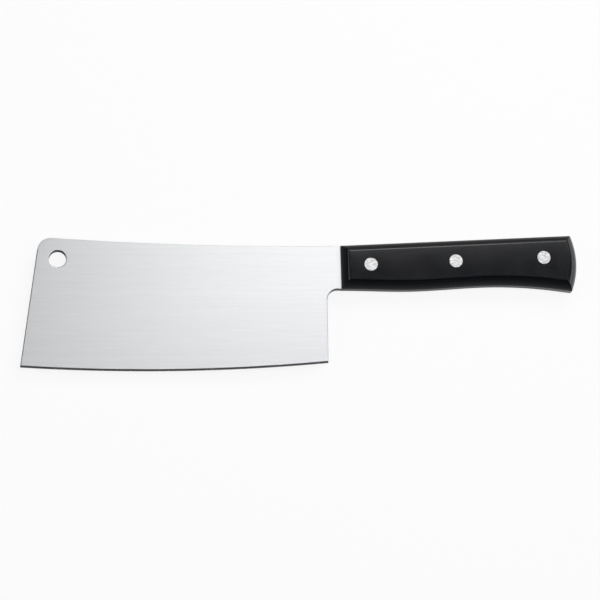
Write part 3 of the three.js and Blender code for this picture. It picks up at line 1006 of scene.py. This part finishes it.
class CLEAVER_OT_set_stage(bpy.types.Operator):
    """Set the table, lamps, world and camera"""

    bl_idname = "cleaver.set_stage"
    bl_label = "Stage"

    def execute(self, context):
        scene = context.scene
        settings = scene.cleaver_stage
        self.make_floor(scene, settings)
        self.make_world(scene)
        self.make_lamps(scene)
        self.make_camera(scene, settings)
        scene.view_settings.view_transform = "Standard"
        return {"FINISHED"}

    def make_floor(self, scene, settings):
        """A level square table under the cleaver."""
        half = np.linspace(-0.5, 0.5, 2) * settings.floor_size
        x, y = np.meshgrid(half, half)
        points, quads = surface(np.stack([x, y, np.zeros_like(x)], axis=-1))
        mesh = bpy.data.meshes.new("table")
        mesh.from_pydata(points.tolist(), [], quads.tolist())
        mesh.materials.append(white_table(list(scene.cleaver_finishes.floor)))
        floor = bpy.data.objects.new("table", mesh)
        scene.collection.objects.link(floor)

    def make_world(self, scene):
        """A dim, even room. To the camera its walls are as white as the table. In reflections
        they are a light grey that fades to the dim room overhead."""
        world = bpy.data.worlds.new("dim_room")
        world.use_nodes = True
        tree = world.node_tree
        tree.nodes.clear()
        direction = add_node(tree, "TexCoord").outputs["Generated"]
        height = add_node(tree, "SeparateXYZ", {0: direction})
        walls = add_node(tree, "MapRange", {
            0: height.outputs["Z"], "From Min": WALL_FADE[0], "From Max": WALL_FADE[1],
            "To Min": WALL_WHITE, "To Max": ROOM_LIGHT,
        }, interpolation_type="SMOOTHSTEP")
        glow = add_node(tree, "Math", {0: seen_white(tree, walls), 1: ROOM_LIGHT}, operation="MAXIMUM")
        room = add_node(tree, "Background", {"Color": (1, 1, 1, 1), "Strength": glow})
        add_node(tree, "OutputWorld", {"Surface": room})
        scene.world = world

    def make_lamps(self, scene):
        """Softboxes over the table and beside it. A lamp's power is its brightness times pi
        times its area."""
        for name, place, aim, size, brightness in SOFTBOXES:
            data = bpy.data.lights.new(name, "AREA")
            data.shape = "RECTANGLE"
            data.size, data.size_y = size
            data.energy = brightness * math.pi * size[0] * size[1]
            lamp = bpy.data.objects.new(name, data)
            lamp.location = place
            lamp.rotation_euler = Vector(aim).to_track_quat("-Z", "Y").to_euler()
            scene.collection.objects.link(lamp)

    def make_camera(self, scene, settings):
        """The camera above the toe's side and past the edge, aimed at the target."""
        data = bpy.data.cameras.new("camera")
        data.lens = settings.focal_length
        data.sensor_width = SENSOR_WIDTH
        camera = bpy.data.objects.new("camera", data)
        place = Vector((-settings.camera_toewards, -settings.camera_edgewards, settings.camera_height))
        back = (place - Vector(settings.target)).normalized()
        upright = Vector((math.sin(settings.camera_roll), math.cos(settings.camera_roll), 0))
        right = upright.cross(back).normalized()
        turn = Matrix((right, back.cross(right), back)).transposed()
        camera.matrix_world = Matrix.Translation(place) @ turn.to_4x4()
        scene.collection.objects.link(camera)
        scene.camera = camera


OPERATORS = (
    CLEAVER_OT_make_blade,
    CLEAVER_OT_make_scales,
    CLEAVER_OT_make_rivets,
    CLEAVER_OT_set_stage,
)


class CLEAVER_PT_sidebar(bpy.types.Panel):
    """Sizes, colours and steps of the cleaver"""

    bl_idname = "CLEAVER_PT_sidebar"
    bl_label = "Kitchen Cleaver"
    bl_space_type = "VIEW_3D"
    bl_region_type = "UI"
    bl_category = "Cleaver"

    def draw(self, context):
        for operator in OPERATORS:
            self.layout.operator(operator.bl_idname)
        for name in SETTINGS:
            group = getattr(context.scene, name)
            column = self.layout.column(heading=group.bl_rna.description)
            for field in group.__annotations__:
                column.prop(group, field)


CLASSES = (*SETTINGS.values(), *OPERATORS, CLEAVER_PT_sidebar)


def register():
    for kind in CLASSES:
        bpy.utils.register_class(kind)
    for name, kind in SETTINGS.items():
        setattr(bpy.types.Scene, name, PointerProperty(type=kind))


def unregister():
    for name in SETTINGS:
        delattr(bpy.types.Scene, name)
    for kind in reversed(CLASSES):
        bpy.utils.unregister_class(kind)


def main():
    register()
    bpy.ops.cleaver.make_blade()
    bpy.ops.cleaver.make_scales()
    bpy.ops.cleaver.make_rivets()
    bpy.ops.cleaver.set_stage()


if __name__ == "__main__":
    main()
